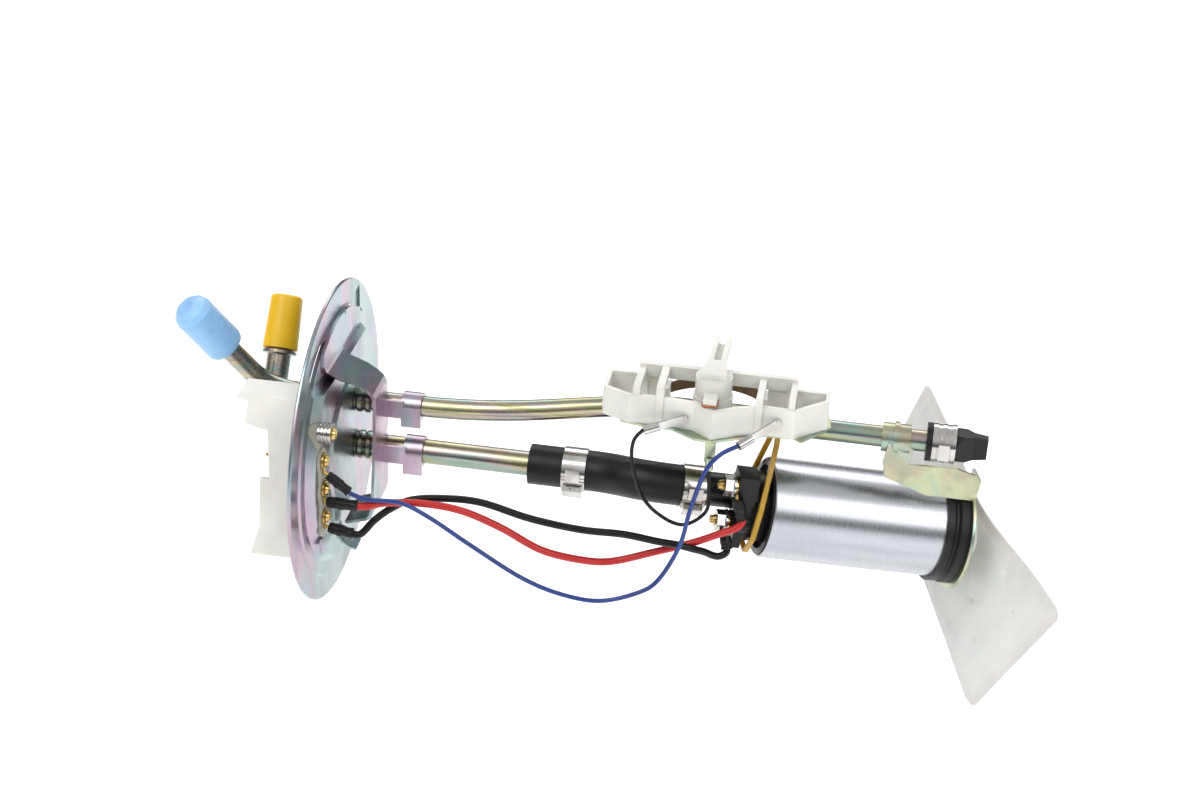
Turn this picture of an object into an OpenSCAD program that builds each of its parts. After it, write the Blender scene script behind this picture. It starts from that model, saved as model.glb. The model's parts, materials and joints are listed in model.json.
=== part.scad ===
// Fuel pump module, in-tank hanger type. Millimetres.
// Origin: centre of the flange on its tank side face, +X into the tank, +Z up.

/* [Flange] */
// Flange outside diameter
flange_d = 123.4; // [110:0.1:135]
// Flange sheet thickness
flange_t = 1.5; // [1:0.1:2.5]
// Diameter of the raised middle
plateau_d = 88; // [70:0.5:100]
// Height of the raised middle
plateau_h = 4; // [2:0.1:7]
// Height of the small step outside the raised middle
step_h = 0.8; // [0.3:0.1:2]

/* [Tubes] */
// Supply tube outside diameter
supply_od = 9.5; // [8:0.1:12]
// Supply tube bore
supply_id = 7.9; // [5:0.1:10]
// Return tube outside diameter
return_od = 8; // [6:0.1:10]
// Return tube bore
return_id = 6.4; // [4:0.1:8]
// Distance of both tubes behind the flange centre
tube_y = 10.5; // [0:0.5:20]
// Height of the supply tube at the flange
supply_z = -7; // [-20:0.5:5]
// Height of the return tube at the flange
return_z = 12.5; // [5:0.5:25]
// Length of the return tube end beyond the flange
return_end_x = 228; // [200:1:260]
// Height the swaged beads stand off the tubes
bead_h = 0.8; // [0.4:0.1:2]

/* [Hose] */
// Hose outside diameter
hose_od = 15.5; // [13:0.1:20]
// Hose clamp band width
clamp_w = 9; // [6:0.5:12]
// Hose clamp band thickness
clamp_t = 0.7; // [0.4:0.1:1.2]

/* [Pump] */
// Pump shell outside diameter
pump_d = 38.4; // [34:0.1:43]
// Pump shell wall
pump_wall = 1; // [0.6:0.1:2]
// Pump shell length
pump_len = 70; // [60:0.5:90]
// Pump turned away from the viewer
pump_yaw = 15; // [0:0.5:30]
// Pump nose down angle
pump_pitch = 8.5; // [0:0.5:20]
// Terminal stud diameter
stud_d = 4; // [3:0.5:6]

/* [Motor] */
// Armature outside diameter
armature_d = 24; // [18:0.5:28]
// Free length between the armature stack and the inlet body
motor_end_gap = 8; // [4:0.5:15]
// Shaft diameter
shaft_d = 4; // [3:0.1:6]
// Running gap between shaft and bush, radial
bush_gap = 0.02; // [0.01:0.01:0.1]
// Impeller diameter
impeller_d = 31; // [25:0.5:34]

/* [Sender] */
// Height of the sender wall top
wall_top = 36.5; // [32:0.5:42]
// Sender wall thickness
wall_t = 1.6; // [1:0.1:3]
// Rotor pivot post diameter
pivot_d = 5; // [3:0.1:8]
// Rotor drum diameter
drum_d = 14.6; // [10:0.1:20]
// Bore of the float rod socket
rod_bore = 2.6; // [2:0.1:4]

/* [Strainer] */
// Strainer bag length
bag_len = 110; // [80:1:140]
// Strainer bag width
bag_wid = 66; // [40:1:80]
// Strainer bag thickness between the seams
bag_t = 5; // [2:0.5:10]

/* [Caps] */
// Blue cap outside diameter
blue_cap_d = 15; // [12:0.1:20]
// Blue cap length
blue_cap_len = 25; // [15:0.5:35]
// Yellow cap mouth diameter
yellow_cap_d = 13.8; // [11:0.1:18]
// Yellow cap length
yellow_cap_len = 21; // [15:0.5:30]

/* [Wires] */
// Power wire diameter over the insulation
power_wire_d = 2.8; // [2:0.1:4]
// Signal wire diameter over the insulation
signal_wire_d = 1.7; // [1:0.1:2.5]

/* [Hidden] */
$fn = 64;
gap = 0.05;
lap = 0.025;
flange_r = flange_d / 2;
plateau_r = plateau_d / 2;
// Radius of the small step, inside the seal face
step_r = 51.8;
term_y = -37;
term_z = [23.2, 11.5, -0.2, -11.9];
blue_dir = unit([-0.46, -0.383, 0.8]);
yellow_dir = unit([0, 0.56, 0.83]);
blue_corner = [-30, tube_y, return_z];
yellow_corner = [-31, tube_y, supply_z];
sender_y = 15.5;
sender_z = 19.5;
pump_at = [162.7, 9.2, -12.9];
pump_r = pump_d / 2;
outlet_y = 3;
outlet_z = 3.3;
neck_tip = -33;
hose_end = -22.8;
pivot = [141.5, 2.5];
plate_z = 24.1;
plate_t = 1;
floor_z = plate_z + plate_t;
bag_yaw = 36;
bag_pitch = 10;
bag_off = 12.5;

function unit(v) = v / norm(v);
function dirn(p, i) = unit(p[i + 1] - p[i]);
function turn(p, i) = acos(max(-1, min(1, dirn(p, i - 1) * dirn(p, i))));
function trim(p, r, i) = (i <= 0 || i >= len(p) - 1) ? 0 : r[i] * tan(turn(p, i) / 2);
function pump_x() = [cos(pump_yaw) * cos(pump_pitch), sin(pump_yaw) * cos(pump_pitch), -sin(pump_pitch)];
function pump_y() = [-sin(pump_yaw), cos(pump_yaw), 0];
function pump_z() = cross(pump_x(), pump_y());
function in_pump(p) = pump_at + p[0] * pump_x() + p[1] * pump_y() + p[2] * pump_z();

module on_axes(o, x, y, z)
  multmatrix([[x[0], y[0], z[0], o[0]], [x[1], y[1], z[1], o[1]],
    [x[2], y[2], z[2], o[2]], [0, 0, 0, 1]]) children();

// Local +Z laid along a direction
module along(o, d) {
  z = unit(d);
  h = abs(z[2]) < 0.9 ? [0, 0, 1] : [1, 0, 0];
  x = unit(cross(h, z));
  on_axes(o, x, cross(z, x), z) children();
}

module along_x(x = 0, y = 0, z = 0) translate([x, y, z]) rotate([90, 0, 90]) children();
module in_pump_frame() translate(pump_at) rotate([0, pump_pitch, pump_yaw]) children();
module pump_axis(x = 0, y = 0, z = 0) in_pump_frame() along_x(x, y, z) children();

module ring2(od, id) difference() {
  circle(d = od);
  if (id > 0) circle(d = id);
}
module annulus(od, id, h) linear_extrude(height = h) ring2(od, id);
module box(a, b) translate(a) cube(b - a);

// Straights run a little way into elbows that are a hair thicker
module bent_tube(p, r, od, id) {
  for (i = [0 : len(p) - 2]) {
    a = p[i] + (trim(p, r, i) - sqrt(lap * r[i])) * dirn(p, i);
    b = p[i + 1] - (trim(p, r, i + 1) - sqrt(lap * r[i + 1])) * dirn(p, i);
    along(a, dirn(p, i)) annulus(od, id, norm(b - a));
  }
  for (i = [1 : len(p) - 2]) {
    u = dirn(p, i - 1);
    n = unit(cross(u, dirn(p, i)));
    m = cross(n, u);
    c = p[i] - trim(p, r, i) * u + r[i] * m;
    on_axes(c, -m, u, n) rotate_extrude(angle = turn(p, i)) translate([r[i], 0])
      ring2(od + 2 * lap, id > 0 ? id - 2 * lap : 0);
  }
}

// Swaged bead round a tube along X
module bead(x, y, z, od, w = 3.1)
  along_x(x, y, z) rotate_extrude()
    polygon([[od / 2 - 0.2, 0], [od / 2 + bead_h * 0.6, 0.25], [od / 2 + bead_h, 0.9],
      [od / 2 + bead_h, w - 0.9], [od / 2 + bead_h * 0.6, w - 0.25], [od / 2 - 0.2, w]]);

// Smooth wire through its points
function cr(a, b, c, d, t) = 0.5 * (2 * b + (c - a) * t + (2 * a - 5 * b + 4 * c - d) * t * t
  + (3 * b - a - 3 * c + d) * t * t * t);
function smooth(p, n) = [for (i = [0 : len(p) - 2]) for (k = [0 : n - 1])
  cr(p[max(i - 1, 0)], p[i], p[i + 1], p[min(i + 2, len(p) - 1)], k / n), p[len(p) - 1]];
module wire(ctrl, d, n = 5) {
  p = smooth(ctrl, n);
  m = len(p);
  s = 8;
  rings = [for (i = [0 : m - 1]) let (t = unit(p[min(i + 1, m - 1)] - p[max(i - 1, 0)]),
    u = unit(cross(t, [0.05, 1, 0.02])), v = cross(t, u))
    for (k = [0 : s - 1]) p[i] + d / 2 * (cos(360 * k / s) * u + sin(360 * k / s) * v)];
  polyhedron(points = rings, faces = concat(
    [[for (k = [0 : s - 1]) k]],
    [[for (k = [0 : s - 1]) (m - 1) * s + s - 1 - k]],
    [for (i = [0 : m - 2]) for (k = [0 : s - 1])
      [i * s + k, (i + 1) * s + k, (i + 1) * s + (k + 1) % s, i * s + (k + 1) % s]]),
    convexity = 8);
}

// Flange
module flange_profile() polygon([[0, plateau_h - 0.5], [24, plateau_h - 0.5], [25.6, plateau_h - flange_t],
  [plateau_r - 0.8, plateau_h - flange_t], [plateau_r + 1.7, step_h - flange_t],
  [step_r - 0.6, step_h - flange_t], [step_r + 0.4, -flange_t], [flange_r - 0.4, -flange_t],
  [flange_r, -flange_t + 0.4], [flange_r, -0.4], [flange_r - 0.4, 0], [step_r + 1, 0], [step_r, step_h],
  [plateau_r + 3, step_h],
  [plateau_r, plateau_h], [25.9, plateau_h], [24.4, plateau_h + 1], [0, plateau_h + 1]]);
// The foot of the hanger bracket lies where the raised middle is cut away
seat_z = 34;
seat_half = 34;
seat_top = 49.4;
module obround_x(y, z0, z1, w, x0, x1) translate([x0, 0, 0]) rotate([90, 0, 90]) linear_extrude(height = x1 - x0)
  union() {
    translate([y, z0]) circle(d = w);
    translate([y, z1]) circle(d = w);
    translate([y - w / 2, z0]) square([w, z1 - z0]);
  }
hook_line = [[plateau_h - 0.1, -17], [plateau_h - 0.1, -27], [4.9, -29.6], [7, -32.4], [9.6, -34.2], [12.6, -34.9]];
module flange_plate() color("#b9b3bd") difference() {
  union() {
    bent_strip(hook_line, 0.8, -22, -14.5);
    box([plateau_h - 0.1, term_y - 3, -26.4], [plateau_h + 0.8, term_y - 0.8, -20.4]);
    difference() {
      along_x() rotate_extrude() flange_profile();
      box([step_h - flange_t - 0.1, -seat_half, seat_z], [12, seat_half, seat_top]);
    }
    intersection() {
      along_x(step_h - flange_t) cylinder(r = step_r - 0.8, h = flange_t);
      box([-3, -seat_half, seat_z - flange_t], [12, seat_half, seat_top + 0.6]);
    }
    intersection() {
      along_x(step_h - flange_t) cylinder(r = plateau_r, h = plateau_h - step_h + flange_t);
      box([-3, -seat_half, seat_z - flange_t], [12, seat_half, seat_z]);
    }
  }
  along_x(-6, tube_y, supply_z) cylinder(d = supply_od + 2 * gap, h = 20);
  along_x(-6, tube_y, return_z) cylinder(d = return_od + 2 * gap, h = 20);
  obround_x(term_y, term_z[3] - 3, term_z[0], 7 + 2 * gap, -6, 12);
}

// Offsets of the three walls from the middle between their pins
way_wall = [-0.45, -0.35, -0.35];
module connector_housing() color("#e9e8e2") difference() {
  union() {
    translate([0, -29, 0]) rotate([90, 0, 0]) linear_extrude(height = 16)
      polygon([[-1.6, 41], [-29, 41], [-29, 35], [-26.5, 33.5], [-24.5, 23], [-17.5, 20.5],
        [-17.5, 0], [-20.8, -0.4], [-20.8, -19], [-24, -32], [-24, -34.5], [-1.6, -34.5]]);
    box([-31, -43, 37.5], [-29, -31, 41]);
    box([-1.7, -46.5, -30], [-1.6, -28, 34]);
  }
  difference() {
    translate([0, -30.6, 0]) rotate([90, 0, 0]) linear_extrude(height = 12.8)
      polygon([[-5, 32], [-26, 32], [-26, 21.4], [-26, -1.6], [-30, -17.6], [-30, -31], [-5, -31]]);
    for (i = [0 : 2]) translate([0, 0, (term_z[i] + term_z[i + 1]) / 2])
      box([-30, -45, way_wall[i] - 0.7], [-5, -29, way_wall[i] + 0.7]);
  }
  for (z = term_z) along_x(-6, term_y, z) cylinder(d = pin_d + 2 * gap, h = 8);
}

pin_x = -19;
pin_d = 2.5;
stack_ring = 0.7;
stack_len = 7 * stack_ring;
function head_x(z) = z == term_z[0] ? plateau_h + 2 * gap + stack_len : 6;
module connector_pins() color("#c9a24a") for (z = term_z) {
  along_x(pin_x, term_y, z) cylinder(d = pin_d, h = head_x(z) - pin_x);
  along_x(head_x(z), term_y, z) rotate_extrude() polygon([[0, 0], [2.2, 0], [2.2, 0.5], [1.7, 1.2], [1.2, 1.2], [0.9, 0.7], [0, 0.7]]);
}

pad_t = 0.85;
module terminal_insulator() color("#c9c6bb") difference() {
  union() {
    along_x(plateau_h + gap, term_y) linear_extrude(height = pad_t) union() {
      for (z = [term_z[1], term_z[2], term_z[3], term_z[3] - 3.4]) translate([0, z]) circle(d = 9.6);
      translate([-3.6, term_z[3] - 3.4]) square([7.2, term_z[1] - term_z[3] + 3.4]);
    }
    obround_x(term_y, term_z[3] - 3, term_z[0], 7, -1.55, plateau_h + gap);
  }
  for (z = term_z) along_x(-6, term_y, z) cylinder(d = pin_d + 2 * gap, h = 20);
}

module terminal_stack() color("#b8b8b4") difference() {
  along_x(plateau_h + gap, term_y, term_z[0]) union() {
    for (i = [0 : 6]) translate([0, 0, i * stack_ring]) cylinder(d = i % 2 == 0 ? 8 : 6.8, h = stack_ring);
  }
  along_x(0, term_y, term_z[0]) cylinder(d = pin_d + 2 * gap, h = 20);
}

// Hanger bracket: one bent strip with a foot, a sloping shelf, a face plate and a turned back end
brk_t = 1.2;
face_x = 16;
foot_x = step_h + gap;
shelf_sum = 39.05;
strip_line = [[foot_x, 60], [foot_x, 39.3], [1.5, shelf_sum - 1.5], [face_x - 1, shelf_sum - face_x + 1],
  [face_x - 0.2, 22.4], [face_x, 21.2], [face_x, -22.4], [face_x - 0.5, -24.2], [face_x - 1.8, -25.4], [6, -28]];
strip_outline = [[-22, 41.5], [-22, 49.6], [-20.5, 51.2], [4.6, 52], [6.5, 49.6], [8.5, 51.6], [17, 48.6],
  [28, 43], [24, 39.6], [2, 39], [0.2, 37.6], [7.2, 30.3], [9.2, 26.5], [9.4, 22.8], [9.8, 3], [8.2, 1],
  [9.8, -1], [9.4, -22], [7, -25.6], [5, -30], [-13, -30], [-13.8, -24.4], [-12, -15.6], [-8.7, 7.5],
  [-7.7, 22.6], [-8, 27.4], [-15.8, 33.7], [-20.4, 39]];
module bent_strip(line, t, y0, y1) translate([0, y1, 0]) rotate([90, 0, 0]) linear_extrude(height = y1 - y0)
  polygon(concat(line, [for (i = [len(line) - 1 : -1 : 0]) inset_point(line, i, t)]));
module hanger_bracket() color("#bdb6c4") difference() {
  union() {
    intersection() {
      bent_strip(strip_line, brk_t, -flange_r, flange_r);
      along_x(-1) linear_extrude(height = 30) polygon(strip_outline);
      along_x(-1) cylinder(r = step_r, h = 30);
    }
    strap(return_z, return_od, 23.3, 30.9);
    strap(supply_z, supply_od, 24.2, 31.6);
  }
  along_x(0, tube_y, return_z) cylinder(d = return_od + 2 * gap, h = 40);
  along_x(0, tube_y, supply_z) cylinder(d = supply_od + 2 * gap, h = 40);
}
module strap(z, od, x0, x1) {
  box([face_x + 0.4, tube_y - od / 2 - brk_t, z - 3.6], [x0 + 1, tube_y - od / 2, z + 3.6]);
  along_x(x0, tube_y, z) cylinder(d = od + 2 * brk_t, h = x1 - x0);
  box([x0, tube_y - od / 2 - brk_t, z - od / 2 - 3], [x1, tube_y - od / 2 + 0.6, z]);
}

module supply_tube() color("#b7bba2") {
  bent_tube([yellow_corner + 50 * yellow_dir, yellow_corner, [95, tube_y, supply_z]], [0, 14, 0], supply_od, supply_id);
  bead(5.2, tube_y, supply_z, supply_od);
  bead(8.4, tube_y, supply_z, supply_od);
  along(yellow_corner + 30.4 * yellow_dir, yellow_dir) rotate_extrude()
    polygon([[supply_od / 2 - 0.2, 0], [6.8, 0.6], [6.8, 1.8], [supply_od / 2 - 0.2, 2.4]]);
}

return_path = [blue_corner + 46 * blue_dir, blue_corner, [53, tube_y, return_z],
  [105, sender_y, sender_z], [return_end_x, sender_y, sender_z]];
module return_tube() color("#b7bba2") {
  bent_tube(return_path, [0, 20, 300, 80, 0], return_od, return_id);
  bead(5.2, tube_y, return_z, return_od);
  bead(8.4, tube_y, return_z, return_od);
  along(blue_corner + 36 * blue_dir, blue_dir) rotate_extrude()
    polygon([[return_od / 2 - 0.2, 0], [5.4, 1], [5.4, 2], [return_od / 2 - 0.2, 3]]);
}

hose_path = [[73, tube_y, supply_z], [103, tube_y, supply_z], in_pump([-45, outlet_y, outlet_z]),
  in_pump([hose_end, outlet_y, outlet_z])];
module fuel_hose() color("#2b2b2c") bent_tube(hose_path, [0, 24, 24, 0], hose_od, supply_od + 2 * gap);

module clamp_body(w) {
  annulus(hose_od + 2 * gap + 2 * clamp_t, hose_od + 2 * gap, w);
  rotate([0, 0, 215]) translate([hose_od / 2 + gap + clamp_t - 0.2, -2.5, 0.8]) difference() {
    cube([2.6, 5, w - 1.6]);
    translate([0.9, -1, w / 2 - 2.1]) cube([0.9, 7, 2.6]);
  }
  rotate([0, 0, 180]) translate([hose_od / 2 + gap + clamp_t - 0.1, -4, w * 0.2]) cube([0.8, 5, w * 0.6]);
}
module hose_clamp_front() color("#b9b5ac") along_x(86.2, tube_y, supply_z) clamp_body(clamp_w);
module hose_clamp_rear() color("#b9b5ac") pump_axis(-32.4, outlet_y, outlet_z) clamp_body(clamp_w);

// Sender
module sender_base_plate() color("#c3c2a6") difference() {
  sender_base();
  band_slot();
}
module sender_base() {
  translate([0, 0, plate_z]) linear_extrude(height = plate_t)
    polygon([[101.7, 8.3], [109, -5], [117, -7], [128.7, -7.4], [137.3, -13], [143.4, -13.5],
      [162, -3.9], [172.7, -3.6], [175.4, -5.7], [185.4, 7.2], [184, 17.5], [102, 17.5]]);
  difference() {
    for (x = [116, 150, 174]) box([x, sender_y - 2.6, sender_z + 3.1], [x + 6, sender_y + 1.9, plate_z]);
    along_x(100, sender_y, sender_z) cylinder(d = return_od + 0.02, h = 100);
  }
}

near_line = [[102, -2], [111.3, -6.4], [124.9, -5.9], [135.9, -7.2], [143, -13],
  [152.4, -7.2], [159.8, -4.4], [172.5, -5], [184, 5.5]];
function side(a, b) = let (d = unit(b - a)) [-d[1], d[0]];
function inset_point(p, i, w) = i == 0 ? p[0] + w * side(p[0], p[1])
  : i == len(p) - 1 ? p[i] + w * side(p[i - 1], p[i])
  : let (n = side(p[i - 1], p[i]), m = unit(n + side(p[i], p[i + 1]))) p[i] + w / (m * n) * m;
module near_wall() translate([0, 0, floor_z]) linear_extrude(height = wall_top - floor_z)
  polygon(concat(near_line,
    [for (i = [len(near_line) - 1 : -1 : 0]) inset_point(near_line, i, wall_t)]));
bar_y = 10.6;
module sender_housing() color("#efeeea") difference() {
  union() {
    near_wall();
    box([101.4, -1.5, floor_z], [103, 12.6, wall_top]);
    box([182.4, 5.2, floor_z], [184, 12.6, wall_top]);
    box([101.4, 11.2, floor_z], [122, 12.8, wall_top]);
    box([161, 11.2, floor_z], [184, 12.8, wall_top]);
    // floors of the two end lobes and the strip under the front
    translate([0, 0, floor_z]) linear_extrude(height = 1.6)
      polygon([[102, -1.6], [111.3, -5.6], [124.9, -5], [135.9, -6.5], [143, -12], [152.4, -6.5],
        [159.8, -3.6], [172.5, -4.2], [183.4, 5.6], [183.4, 12], [158, 12], [158, 0], [150, 0],
        [150, 9], [133, 9], [133, 0], [124, 0], [124, 12], [102, 12]]);
    // posts
    box([121.6, -6.4, floor_z], [124.4, -3.4, 41]);
    box([157.8, -5.4, floor_z], [160.4, -2.4, 40]);
    box([169.6, -4.4, floor_z], [172, -1.4, 40]);
    box([121.6, 11, floor_z], [124.4, 18.5, 31.5]);
    box([158.6, 11, floor_z], [161.4, 18.5, 31.5]);
    // rear bridge bar with its legs
    box([113, bar_y, 36], [171.5, bar_y + 2.6, 41.2]);
    box([113, bar_y, floor_z], [116.4, bar_y + 2.6, 36.2]);
    box([168, bar_y, floor_z], [171.5, bar_y + 2.6, 36.2]);
    box([121.6, -6.4, 38.6], [124.4, bar_y + 1, 41]);
    box([157.8, -5.4, 37.6], [160.4, bar_y + 1, 40]);
    box([169.6, -4.4, 37.6], [172, bar_y + 1, 40]);
    box([113, -6, 37.6], [115.6, bar_y + 1, 40]);
    box([113, -6, floor_z], [115.6, -4, 40]);
    // pivot post
    translate([pivot[0], pivot[1], floor_z]) cylinder(d = pivot_d, h = 14.4);
    translate([pivot[0], pivot[1], floor_z]) cylinder(d = 11, h = 2.2);
  }
  translate([pivot[0], pivot[1], 26.5]) rotate([0, 0, 35]) rotate_extrude(angle = 110)
    translate([22.6, 0]) square([1.3, 4.6]);
  band_slot();
  for (t = [left_lug, right_lug]) along(t[0], t[1]) translate([0, 0, -2.4]) cylinder(d = 1.6 + 2 * gap, h = 6);
}
left_lug = [[132.5, -7.4, 29.8], [-0.1, -1, 0]];
right_lug = [[166, -5.2, 31.2], [-0.05, -1, 0]];

module resistor_card() color("#7a5a3a") translate([pivot[0], pivot[1], 26.6]) rotate([0, 0, 42])
  rotate_extrude(angle = 96) translate([22.8, 0]) square([0.8, 4.2]);

// Crimped wire lugs riveted to the sender front
module lug(t, a) {
  along(t[0], t[1]) {
    translate([0, 0, -2.3]) cylinder(d = 1.6, h = 3);
    translate([0, 0, 0.05]) cylinder(d = 3, h = 0.6);
  }
  u = unit(a - t[0]);
  s = t[0] + 0.5 * unit(t[1]);
  w = cross(u, [0, 0, 1]);
  on_axes(s, u, unit(w), cross(u, unit(w))) {
    translate([0, -0.4, -1.6]) cube([norm(a - s) - 3, 0.8, 3.2]);
    translate([norm(a - s) - 6, 0, 0]) rotate([0, 90, 0]) annulus(3.4, 2, 6);
  }
}
left_end = [118.3, -13, 26.2];
right_end = [153.3, -15, 25.2];
module sender_terminals() color("#c8c8c4") {
  lug(left_lug, left_end);
  lug(right_lug, right_end);
}
module ground_terminal() color("#b3b08e") {
  box([141.2, -13.2, 16], [145.2, -12.4, plate_z]);
  translate([143.2, -12.8, 13]) annulus(3, 1.7, 5);
}

module sender_rotor() color("#f2f1ec") translate([pivot[0], pivot[1], 0]) difference() {
  union() {
    translate([0, 0, 27.4]) cylinder(d = drum_d, h = 8.6);
    translate([0, 0, 36]) cylinder(d = drum_d - 1, h = 5.6);
    translate([-1.6, 4, 30.2]) cube([3.2, 14, 2]);
    translate([0, 0, 41.6]) linear_extrude(height = 4.4)
      polygon([[-5, -4], [5, -4], [3.9, 5], [3.2, 12], [3.2, 28], [-3.2, 28], [-3.2, 12], [-3.9, 5]]);
    translate([-2.5, -12.5, 37.6]) cube([5, 8, 2]);
    translate([0, 0, 41.5]) cylinder(d = drum_d - 1, h = 2);
  }
  translate([0, 0, 20]) cylinder(d = pivot_d + 2 * gap, h = 19.6);
  translate([-1.3, 8, 44]) cube([2.6, 21, 3]);
  translate([0, 29, 44]) rotate([90, 0, 0]) cylinder(d = rod_bore, h = 26);
}
module wiper_contact() color("#b5713c") translate([pivot[0], pivot[1], 0]) {
  translate([-1.2, 8, 29.6]) cube([2.4, 14.7, 0.6]);
  translate([-2.9, -12.9, 37]) cube([5.8, 5.4, 0.6]);
}

// Wires
sleeve_start = [[6.8, term_y, 5.9], [6.3, term_y, -5.6], [6.7, term_y, -16.4]];
sleeve_end = [[14.6, term_y, -0.2], [17.9, term_y, -5.8], [15.9, term_y, -18]];
lug_x = -14.15;
lug_t = 0.8;
pump_sleeve = [[[lug_x - lug_t / 2, -14.6, 10.6], [-11, -15.6, 2.4]],
  [[lug_x - lug_t / 2, -10.6, -7.6], [-13.2, -13, -12.6]]];
// A wire's last points: inside its sleeve, then straight out of the mouth
function mouth(a, b, out) = [b - 1.5 * unit(b - a), b + out * unit(b - a)];
function flange_mouth(i) = mouth(sleeve_start[i], sleeve_end[i], 1.5);
function pump_mouth(i) = let (m = mouth(in_pump(pump_sleeve[i][0]), in_pump(pump_sleeve[i][1]), 0.8)) [m[1], m[0]];
blue_route = concat(flange_mouth(0), [[22, -36.5, -2.9],
  [33.3, -35.2, -3.4], [44.1, -33.6, -9.3], [58.9, -32, -19.8], [77.7, -30.4, -32.1], [92.7, -28.8, -38.4],
  [107.6, -27.2, -40.3], [122.2, -25.6, -35.2], [129.1, -24, -29], [135.5, -22.4, -14.7],
  [138.2, -20.8, -0.3], [142.5, -19.2, 15.3], [147.3, -17.6, 22.2], right_end]);
red_route = concat(flange_mouth(1), [[23, -35.9, -5.5],
  [27.3, -34, -5], [39.8, -31.2, -5], [54.3, -28.4, -7.7], [69, -25.6, -14.7],
  [83.9, -22.8, -24], [98.9, -20, -28], [110, -17.2, -28.7], [124.7, -14.4, -24.4], [139.4, -11.6, -19.7],
  in_pump([-17.1, -15.5, -4.5]), in_pump([-13.7, -15.9, -2.4]), in_pump([-11.6, -16, -0.4])], pump_mouth(0));
black_route = concat(flange_mouth(2), [[19.6, -36.1, -17.2], [23.3, -34.2, -12.8], [28.5, -31.5, -8.9],
  [35.5, -28.9, -5.6], [46.2, -26.2, -4.9], [60.8, -23.5, -6.2], [79.3, -20.9, -12.2], [98, -18.8, -15.6],
  [113.6, -17.9, -15.9], [127.2, -17, -17.8], [133.5, -16.4, -18.5], [139.4, -14.6, -20.6], [143.7, -12, -22.9],
  in_pump([-18.4, -14.4, -15.2]), in_pump([-15.9, -14, -15.6]), in_pump([-14, -13.7, -14.8])], pump_mouth(1));
ground_route = [left_end, [115.1, -13, 21.2], [115, -13.6, 12.9], [118.4, -14.4, 1.7],
  [122.8, -15, -4.5], [129.1, -15.6, -8.6], [134.1, -16, -9.9], [137.8, -16.2, -8.8], [141.9, -16, -5.5],
  [144.1, -15.4, -1.6], [143.9, -14, 4.9], [143.2, -12.8, 13]];
module blue_wire() color("#2a4fa3") wire(blue_route, signal_wire_d);
module red_wire() color("#c8423b") wire(red_route, power_wire_d);
module black_wire() color("#26262a") wire(black_route, power_wire_d);
module ground_wire() color("#26262a") wire(ground_route, 1.4, 4);
module sleeve(a, b, od, id) along(a, b - a) annulus(od, id, norm(b - a));
// Ring lugs under the rivet heads and pump nuts, their tails inside the sleeves
module ring_terminals() color("#b8a878") {
  for (i = [0 : 2]) {
    d = unit(sleeve_end[i] - sleeve_start[i]);
    a = sleeve_start[i] - (sleeve_start[i][0] - 5.5) / d[0] * d;
    along_x(5.1, term_y, term_z[i + 1]) annulus(6.4, pin_d + 2 * gap, 0.8);
    box([5.1, term_y - 0.9, a[2] - 0.7], [5.9, term_y + 0.9, term_z[i + 1] - 2.8]);
    along(a, d) cylinder(d = 1.2, h = 4);
  }
  for (i = [0, 1]) {
    a = pump_sleeve[i][0];
    s = [lug_x - lug_t / 2, stud_at[i][0], stud_at[i][1]];
    pump_axis(lug_x - lug_t, s[1], s[2]) annulus(8, stud_d + 2 * gap, lug_t - gap);
    in_pump_frame() {
      on_axes(s + 2.8 * unit(a - s), [1, 0, 0], cross(unit(a - s), [1, 0, 0]), unit(a - s))
        translate([-lug_t / 2 + gap, -1.2, 0]) cube([lug_t - 2 * gap, 2.4, norm(a - s) - 2.8]);
      along(a, pump_sleeve[i][1] - a) translate([0, 0, -0.3]) cylinder(d = 1.2, h = 3);
    }
  }
}
module wire_sleeves() color("#1f1f21") {
  sleeve(sleeve_start[0], sleeve_end[0], 4.2, 2.6);
  sleeve(sleeve_start[1], sleeve_end[1], 4.6, 3.4);
  sleeve(sleeve_start[2], sleeve_end[2], 4.6, 3.4);
  in_pump_frame() for (p = pump_sleeve) sleeve(p[0] + 0.9 * unit(p[1] - p[0]), p[1], 4.6, 3.4);
}

// Pump, drawn along its own axis from the outlet rim of the shell
module pump_shell() color("#c9cacc") pump_axis() rotate_extrude()
  polygon([[pump_r - pump_wall, 0.3], [pump_r - 0.5, 0], [pump_r, 0.5], [pump_r, pump_len - 1], [pump_r - 1, pump_len],
    [pump_r - 3.2, pump_len], [pump_r - 3.2, pump_len - pump_wall], [pump_r - pump_wall, pump_len - pump_wall]]);

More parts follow.
